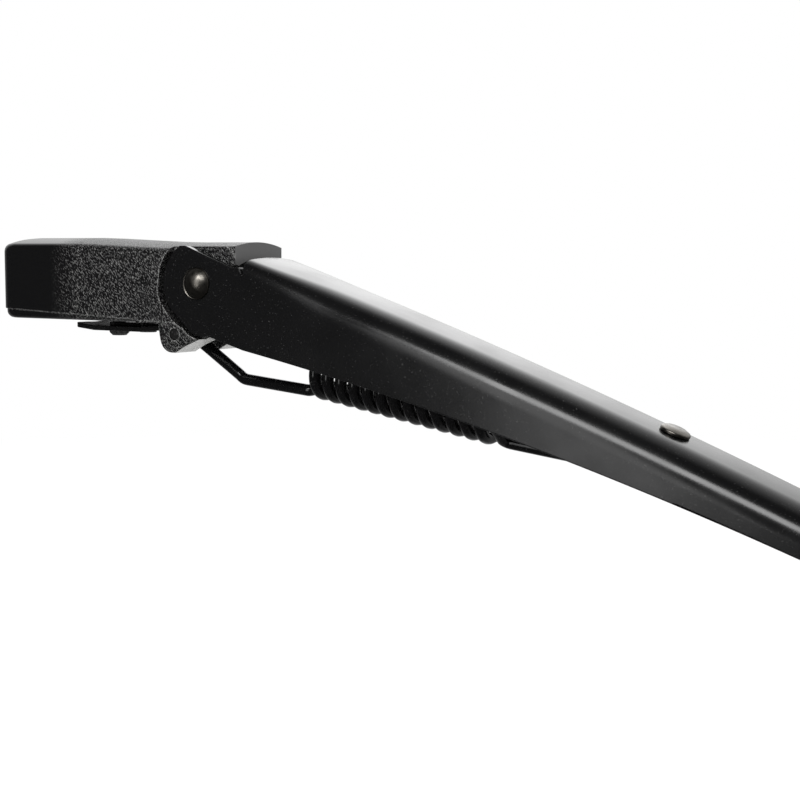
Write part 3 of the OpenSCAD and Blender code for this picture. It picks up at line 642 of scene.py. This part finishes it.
def head_material():
    """Black wrinkle paint on the casting, with painted highlights on the wrinkles' tops, smooth at its round end.
    Bands by place and by the way a face
    looks: speckled painted highlights along the recesses' edges and on the rim's step, a light speckled ring round
    the spring pin, thin grey on the visor's milled end, a painted reflection in light grey on the slanted faces
    under the lugs."""
    f, h, c, spring = settings("finish"), settings("hinge"), settings("channel"), settings("spring")
    material, g = new_material("head_wrinkle_paint")
    at = place(g, (h.reach, 0, h.height))
    grain = use(g, paint_grain(), {"Vector": at, "Size": f.grain_size * 1000, "Turn": -0.86, "Stretch": 2.8})
    x, _, z = g.node("ShaderNodeSeparateXYZ", {0: at}).outputs
    normal = g.node("ShaderNodeNewGeometry").outputs["True Normal"]
    nx, ny, nz = g.node("ShaderNodeSeparateXYZ", {0: normal}).outputs
    side = g.span(g.math("ABSOLUTE", ny), 0.5, 0.8, 0.0, 1.0)
    visor = g.product(g.span(x, VISOR_END, VISOR_END + 0.0002, 0.0, 1.0), g.span(nx, 0.7, 0.9, 0.0, 1.0))
    # Painted reflection: the slanted faces under the lugs, turned down and to the right, get a light grey.
    lug_reflection = g.product(g.span(nz, -0.6, -0.7, 0.0, 1.0), g.span(nx, 0.25, 0.32, 0.0, 1.0),
                    g.span(z, LUG_FACES_TOP, LUG_FACES_TOP - 0.0005, 0.0, 1.0))
    wrinkled = g.product(g.span(x, WRINKLE_START, WRINKLE_FULL, 0.0, 1.0), g.math("SUBTRACT", 1.0, visor))
    bulge = (EAR_BULGE[0] * c.ear_radius, EAR_BULGE[1] * c.ear_radius)
    # Painted highlights along the recesses' edges: speckled light rings just outside the ears and their bulges.
    gap = g.math("MINIMUM", ring_gap(g, x, z, (0.0, 0.0), c.ear_radius + EAR_RING),
                 ring_gap(g, x, z, bulge, EAR_BULGE[2] * c.ear_radius + BULGE_RING))
    ring_highlight = g.product(g.span(gap, 0.0001, 0.0006, 1.0, 0.0), g.span(gap, -0.0005, -0.0002, 0.0, 1.0),
                     g.span(grain["Specks"], 0.3, 0.9, 0.05, 0.8))
    # Painted highlight along the rim's sloping step, speckled.
    step = g.math("ADD", z, g.product(x, STEP_SLOPE))
    step = g.math("ABSOLUTE", g.math("SUBTRACT", step, STEP_HEIGHT))
    step_highlight = g.product(g.span(step, 0.0001, 0.0003, 1.0, 0.0), g.span(x, STEP_START, STEP_FULL, 0.0, 1.0),
                     g.product(grain["Specks"], 0.6))
    # A light speckled ring round the spring pin, in the same light colour.
    pin = g.math("ABSOLUTE", ring_gap(g, x, z, (-spring.pin_back, -spring.pin_depth), PIN_RING))
    pin = g.product(g.span(pin, 0.0001, 0.0003, 0.7, 0.0), grain["Specks"])
    edge = g.product(g.math("MAXIMUM", g.math("MAXIMUM", ring_highlight, pin), step_highlight), side)
    # The wrinkles' tops get the painted highlight colour over the black paint.
    base = g.mix(g.product(grain["Strokes"], wrinkled), f.head_paint, f.head_highlight)
    # The edge marks get the colour of the painted highlights; the visor's end gets its thin grey.
    base = g.mix(visor, g.mix(edge, base, f.highlight_and_dust), f.visor_face)
    base = g.mix(g.product(lug_reflection, g.span(grain["Height"], 0.0, 0.8, 0.75, 1.0)), base, f.lug_face_reflection)
    rough = g.math("ADD", g.span(wrinkled, 0.0, 1.0, 0.12, 0.24), g.math("MULTIPLY", visor, 0.3))
    height = g.product(grain["Height"], wrinkled)
    return finish_material(material, g, {"Base Color": base, "Roughness": rough,
                                         "Normal": bump(g, height, 1.0, 0.00006)})


def satin_material(name, paint, rough=0.3, size=1.6, strength=0.12, dust=0.3):
    """Sprayed paint: orange peel, a slow change of gloss and fine dust."""
    f = settings("finish")
    material, g = new_material(name)
    at = place(g)
    peel = use(g, orange_peel(), {"Vector": at, "Size": size})
    # Specks of dust, in the same light colour that the head's painted highlights use.
    base = g.mix(g.math("MULTIPLY", peel["Dust"], dust), paint, f.highlight_and_dust)
    roughness = g.span(peel["Cloud"], 0.0, 1.0, rough - 0.04, rough + 0.05)
    return finish_material(material, g, {"Base Color": base, "Roughness": roughness,
                                         "Normal": bump(g, peel["Height"], strength, 0.0001)})


def metal_material(name, tint, rough=0.32, size=0.5):
    """Plated or plain metal with fine marks."""
    material, g = new_material(name)
    at = place(g)
    peel = use(g, orange_peel(), {"Vector": at, "Size": size})
    base = g.mix(peel["Cloud"], [c * 0.85 for c in tint], tint)
    roughness = g.span(peel["Height"], 0.3, 0.7, rough - 0.07, rough + 0.08)
    return finish_material(material, g, {"Base Color": base, "Roughness": roughness, "Metallic": 1.0,
                                         "Normal": bump(g, peel["Height"], 0.1, 0.00005)})


def assign(node, material):
    """Gives a CAD node that stays its own material."""
    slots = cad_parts[node].data.materials
    slots.clear()
    slots.append(material)


# OPERATORS

class WIPER_OT_head(Operator):
    """Makes the cast head with its rounded edges, and finishes bush, sleeve, washers and pin"""
    bl_idname = "wiper.head"
    bl_label = "Cast head"

    def execute(self, context):
        f = settings("finish")
        casting = eased_copy("head_casting", "cast_head", "head", head_material(), 0.0003, 34)
        rounding = casting.modifiers["round_edges"]
        rounding.offset_type = "ABSOLUTE"
        rounding.harden_normals = False
        casting.modifiers.new("flat_faces", "WEIGHTED_NORMAL").weight = 90
        zinc = metal_material("zinc_plate", f.zinc)
        assign("spindle_bush", zinc)
        assign("hinge_washers", zinc)
        assign("hinge_sleeve", metal_material("sleeve_brass", f.brass))
        eased_copy("spring_pin", "pin", "head", satin_material("pin_coat", f.pin_coat, 0.3), 0.0002)
        return {"FINISHED"}


class WIPER_OT_channel(Operator):
    """Makes the folded channel with its ears from one sheet"""
    bl_idname = "wiper.channel"
    bl_label = "Folded channel"

    def execute(self, context):
        f, sizes = settings("finish"), settings("channel")
        c = mm(sizes)
        flange = 16
        x = np.concatenate([np.linspace(c.front, web_foot(c), 8), np.linspace(web_foot(c), c.reach, 150)[1:]])
        web = channel_rows(c, x, flange)
        parts = [(web.reshape(-1, 3), quads(*web.shape[:2]))]
        patch = ear_patch(c, flange)
        for side in (-1, 1):
            y = np.full(patch.shape[:2], side * c.width / 2)
            ear = np.stack([patch[..., 0], y, patch[..., 1]], -1)
            grid = quads(*ear.shape[:2])
            parts.append((ear.reshape(-1, 3), grid[:, ::-1] if side < 0 else grid))
        mesh = make_mesh("folded_channel", *joined(parts))
        weld(mesh, 2e-6)
        face_up(mesh)
        paint = satin_material("channel_satin_paint", f.channel_paint, 0.2, 1.6, 0.05, 0.1)
        piece = put(mesh, "folded_channel", None, paint, ("arm_channel",), 40)
        wall = piece.modifiers.new("wall", "SOLIDIFY")
        wall.thickness = sizes.sheet
        wall.offset = -1
        wall.use_even_offset = True
        round_edges(piece, sizes.edge, 50)
        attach(piece, "arm")
        return {"FINISHED"}


class WIPER_OT_rivets(Operator):
    """Makes the domed hinge rivet and the rivets through channel and bar"""
    bl_idname = "wiper.rivets"
    bl_label = "Rivets"

    def execute(self, context):
        h, c = mm(settings("hinge")), mm(settings("channel"))
        coat = metal_material("rivet_black_zinc", settings("finish").rivet_coat, 0.32, 1.0)
        r, top = h.dome_radius, h.dome_height
        cap = (r * r + top * top) / (2 * top)
        a = np.linspace(0, math.asin((r - 0.25) / cap), 20)[::-1]
        dome = np.stack([cap * np.sin(a), top - cap + cap * np.cos(a)], -1)
        foot = [[r - 0.1, -0.3], [r, 0.0], [r, 0.3], [r - 0.08, 0.42]]
        profile = np.concatenate([foot, dome[:-1], [[0.01, top]]])
        points, faces = lathe(profile, 72)
        parts = [(np.stack([points[:, 0], side * (c.width / 2 + points[:, 2]), points[:, 1]], -1),
                  faces if side < 0 else faces[:, ::-1]) for side in (-1, 1)]
        mesh = make_mesh("hinge_dome", *joined(parts))
        weld(mesh, 1e-6)
        put(mesh, "hinge_dome", "arm", coat, ("hinge_rivet",))
        eased_copy("bar_rivets", "channel_rivets", "arm", coat, 0.0003)
        return {"FINISHED"}


class WIPER_OT_bar(Operator):
    """Makes the flat bar with its blade hook"""
    bl_idname = "wiper.bar"
    bl_label = "Bar"

    def execute(self, context):
        paint = satin_material("bar_satin_paint", settings("finish").bar_paint, 0.2)
        eased_copy("arm_bar", "flat_bar", "arm", paint, 0.0004)
        return {"FINISHED"}


class WIPER_OT_catch(Operator):
    """Makes the sliding catch with its studs and knurled knob"""
    bl_idname = "wiper.catch"
    bl_label = "Catch"

    def execute(self, context):
        coat = satin_material("catch_coat", settings("finish").catch_coat, 0.26, 0.8, 0.2)
        eased_copy("catch_plate", "catch_slider", "catch", coat, 0.00018)
        # The studs show the frame's own plain coat, found by its name, and not the plate's.
        eased_copy("catch_studs", "catch_knob", "catch", bpy.data.materials["catch_coat"], 0.0001)
        return {"FINISHED"}


class WIPER_OT_spring(Operator):
    """Makes the extension spring"""
    bl_idname = "wiper.spring"
    bl_label = "Spring"

    def execute(self, context):
        c, b, s = mm(settings("channel")), mm(settings("bar")), mm(settings("spring"))
        top = web_line(c, b.turn) - b.drop + (b.turn - s.anchor) * BAR_END_SLOPE
        mesh = make_mesh("pull_spring", *tube(spring_path(s, top, top - b.thickness), s.wire / 2, 16))
        coat = satin_material("spring_gloss_coat", settings("finish").spring_coat, 0.12, 1.2, 0.03, 0.1)
        piece = put(mesh, "pull_spring", None, coat, ("extension_spring",))
        h, s = settings("hinge"), settings("spring")
        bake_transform(piece)
        return {"FINISHED"}


def camera_matrix(a, e, roll, position):
    """Camera axes from its turn about Z, its dip and its roll: it looks along the turned and dipped Y
    axis, and its right and up axes are turned by the roll about that line."""
    forward = np.array([-math.sin(a) * math.cos(e), math.cos(a) * math.cos(e), -math.sin(e)])
    right = np.array([math.cos(a), math.sin(a), 0.0])
    up = np.cross(right, forward)
    rolled_right = right * math.cos(roll) + up * math.sin(roll)
    rolled_up = up * math.cos(roll) - right * math.sin(roll)
    matrix = np.eye(4)
    matrix[:3] = np.stack([rolled_right, rolled_up, -forward, position], -1)
    return Matrix(matrix.tolist())


class WIPER_OT_stage(Operator):
    """Makes the camera, the pale floor, the studio light and the white surroundings"""
    bl_idname = "wiper.stage"
    bl_label = "Stage"

    def execute(self, context):
        scene = context.scene
        s = settings("stage")
        scene.view_settings.view_transform = "Standard"
        camera = bpy.data.cameras.new("photo_camera")
        camera.sensor_width = CAMERA_SENSOR
        camera.lens = CAMERA_SENSOR * CAMERA_FOCAL / IMAGE_WIDTH
        camera.clip_start = 0.01
        camera.clip_end = 50
        eye = bpy.data.objects.new("photo_camera", camera)
        scene.collection.objects.link(eye)
        eye.matrix_world = camera_matrix(math.radians(CAMERA_TURN), math.radians(CAMERA_DIP),
                                         math.radians(CAMERA_ROLL), CAMERA_PLACE)
        scene.camera = eye
        self.floor(scene, CAD_BOX[0][2] - s.floor_drop)
        self.world(scene, s)
        self.lamp(scene, "fill_light", position=(0.02, -0.463, 0.06), target=(0.10, 0.0, 0.0), size=(0.16, 0.38),
                  power=s.fill_power)
        self.lamp(scene, "key_light", position=(0.17, -0.42, 0.31), target=(0.15, 0.0, 0.0), size=(0.34, 0.16),
                  power=s.key_power)
        return {"FINISHED"}

    def floor(self, scene, z):
        """A round floor that fades into the white surroundings with the distance from its centre."""
        n = 96
        a = np.linspace(0, 2 * math.pi, n, endpoint=False)
        points = np.stack([FLOOR_CENTRE[0] + FLOOR_RADIUS * np.cos(a), FLOOR_CENTRE[1] + FLOOR_RADIUS * np.sin(a),
                           np.full(n, z)], -1)
        mesh = bpy.data.meshes.new("floor")
        mesh.from_pydata(points.tolist(), [], [list(range(n))])
        floor = bpy.data.objects.new("floor", mesh)
        scene.collection.objects.link(floor)
        material, g = new_material("floor_white")
        at = place(g, (*FLOOR_CENTRE, 0))
        flat = g.node("ShaderNodeVectorMath", {0: at, 1: (1, 1, 0)}, operation="MULTIPLY").outputs[0]
        reach = g.node("ShaderNodeVectorMath", {0: flat}, operation="LENGTH").outputs["Value"]
        fade = g.span(reach, 0.45, 1.1, 0.0, 1.0)
        path = g.node("ShaderNodeLightPath").outputs
        seen = g.math("MAXIMUM", path["Is Camera Ray"], path["Is Transmission Ray"])
        fade = g.product(fade, seen)
        matt = g.node("ShaderNodeBsdfDiffuse", {"Color": (0.93, 0.93, 0.93, 1)})
        glow = g.node("ShaderNodeEmission", {"Color": (1, 1, 1, 1), "Strength": 1.0})
        clear = g.node("ShaderNodeBsdfTransparent")
        both = g.node("ShaderNodeMixShader", {0: fade, 1: matt.outputs[0], 2: glow.outputs[0]})
        open_ = g.node("ShaderNodeMixShader", {0: path["Is Glossy Ray"], 1: both.outputs[0], 2: clear.outputs[0]})
        g.node("ShaderNodeOutputMaterial", {"Surface": open_.outputs[0]})
        mesh.materials.append(material)

    def world(self, scene, s):
        """White for the camera. In reflections bright behind, more so above than level, weaker to the far
        left and to the right, and nearly dark in front. Soft and even for matt surfaces."""
        world = bpy.data.worlds.new("white_studio")
        scene.world = world
        world.use_nodes = True
        world.node_tree.nodes.clear()
        g = Shader(world.node_tree)
        x, y, z = g.node("ShaderNodeSeparateXYZ", {0: g.node("ShaderNodeTexCoord").outputs["Generated"]}).outputs
        flat = g.math("SQRT", g.math("ADD", g.product(x, x), g.product(y, y)))
        left = g.span(g.math("DIVIDE", x, g.math("MAXIMUM", flat, 0.01)), -0.66, -0.5, 0.5, 1.0)
        side = g.product(left, g.span(x, -0.25, 0.1, 1.0, 0.42))
        back = g.product(g.span(y, -0.08, 0.7, 0.0, s.back_level), g.span(z, 0.0, 0.46, 0.25, 1.0), side)
        level = g.math("ADD", s.front_level, back)
        path = g.node("ShaderNodeLightPath").outputs
        seen = g.math("MAXIMUM", path["Is Camera Ray"], path["Is Transmission Ray"])
        soft = g.math("MULTIPLY", path["Is Diffuse Ray"], s.soft_level)
        even = g.math("MAXIMUM", seen, soft)
        level = g.math("MAXIMUM", even, g.product(level, g.math("LESS_THAN", even, 0.5)))
        light = g.node("ShaderNodeBackground", {"Color": (1, 1, 1, 1), "Strength": level})
        g.node("ShaderNodeOutputWorld", {"Surface": light.outputs[0]})

    def lamp(self, scene, name, position, target, size, power):
        """A rectangular lamp that faces its target."""
        light = bpy.data.lights.new(name, "AREA")
        light.shape = "RECTANGLE"
        light.size, light.size_y = size
        light.energy = power
        lamp = bpy.data.objects.new(name, light)
        scene.collection.objects.link(lamp)
        way = Vector(target) - Vector(position)
        lamp.matrix_world = Matrix.Translation(position) @ way.to_track_quat("-Z", "Y").to_matrix().to_4x4()


class WIPER_PT_panel(Panel):
    """Sizes, finishes and steps of the wiper arm"""
    bl_idname = "WIPER_PT_panel"
    bl_label = "Wiper Arm"
    bl_space_type = "VIEW_3D"
    bl_region_type = "UI"
    bl_category = "Wiper Arm"

    def draw(self, context):
        column = self.layout.column()
        for step in STEPS:
            column.operator(step.bl_idname)
        for name, kind in GROUPS.items():
            column.label(text=name.capitalize())
            values = settings(name)
            for key in kind.__annotations__:
                column.prop(values, key)


GROUPS = {"hinge": HingeSizes, "channel": ChannelSizes, "spring": SpringSizes, "bar": BarSizes,
          "finish": Finishes, "stage": StageSettings}
STEPS = (WIPER_OT_head, WIPER_OT_channel, WIPER_OT_rivets, WIPER_OT_bar, WIPER_OT_catch, WIPER_OT_spring,
         WIPER_OT_stage)
CLASSES = (*GROUPS.values(), *STEPS, WIPER_PT_panel)


def register():
    """Registers the classes and gives the scene its property groups."""
    for cls in CLASSES:
        bpy.utils.register_class(cls)
    for name, kind in GROUPS.items():
        setattr(bpy.types.Scene, "wiper_" + name, PointerProperty(type=kind))


def unregister():
    """Takes the property groups and the classes away again."""
    for name in GROUPS:
        delattr(bpy.types.Scene, "wiper_" + name)
    for cls in reversed(CLASSES):
        bpy.utils.unregister_class(cls)


def main():
    """Registers the classes and builds everything in order."""
    register()
    bpy.ops.wiper.head()
    bpy.ops.wiper.channel()
    bpy.ops.wiper.rivets()
    bpy.ops.wiper.bar()
    bpy.ops.wiper.catch()
    bpy.ops.wiper.spring()
    bpy.ops.wiper.stage()


if __name__ == "__main__":
    main()
